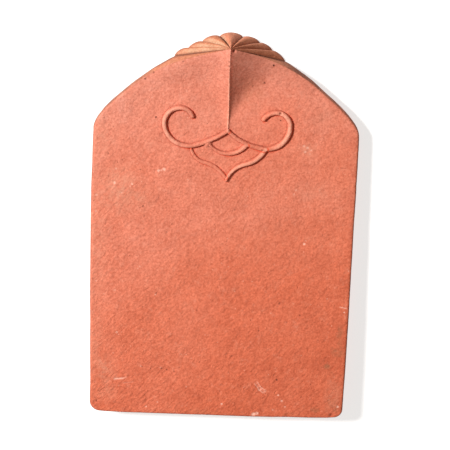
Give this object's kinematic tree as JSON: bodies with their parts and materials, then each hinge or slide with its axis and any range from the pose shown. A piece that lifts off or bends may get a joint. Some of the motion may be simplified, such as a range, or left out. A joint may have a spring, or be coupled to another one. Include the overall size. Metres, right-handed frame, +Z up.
{
  "type": "scalloped roof tile",
  "caption": "Flat fired-clay roof tile with a gabled tail that rises to a ridged nose ending in a scallop shell, raised scrollwork on the face and hanging nibs on the back.",
  "frame": {"origin": "centre of the bounding box in plan, at the ground the tile lies on", "axes": "+X across the tile, +Y from the head edge to the scallop shell, +Z up; the tile lies face up on its two nibs and the tip of the shell, so the slab slopes down 1.63 degrees toward +Y"},
  "size_m": [0.27, 0.4096, 0.0439],
  "materials": {
    "fired_terracotta": null
  },
  "bodies": {
    "root": {"roof_tile": "fired_terracotta"}
  },
  "joints": []
}
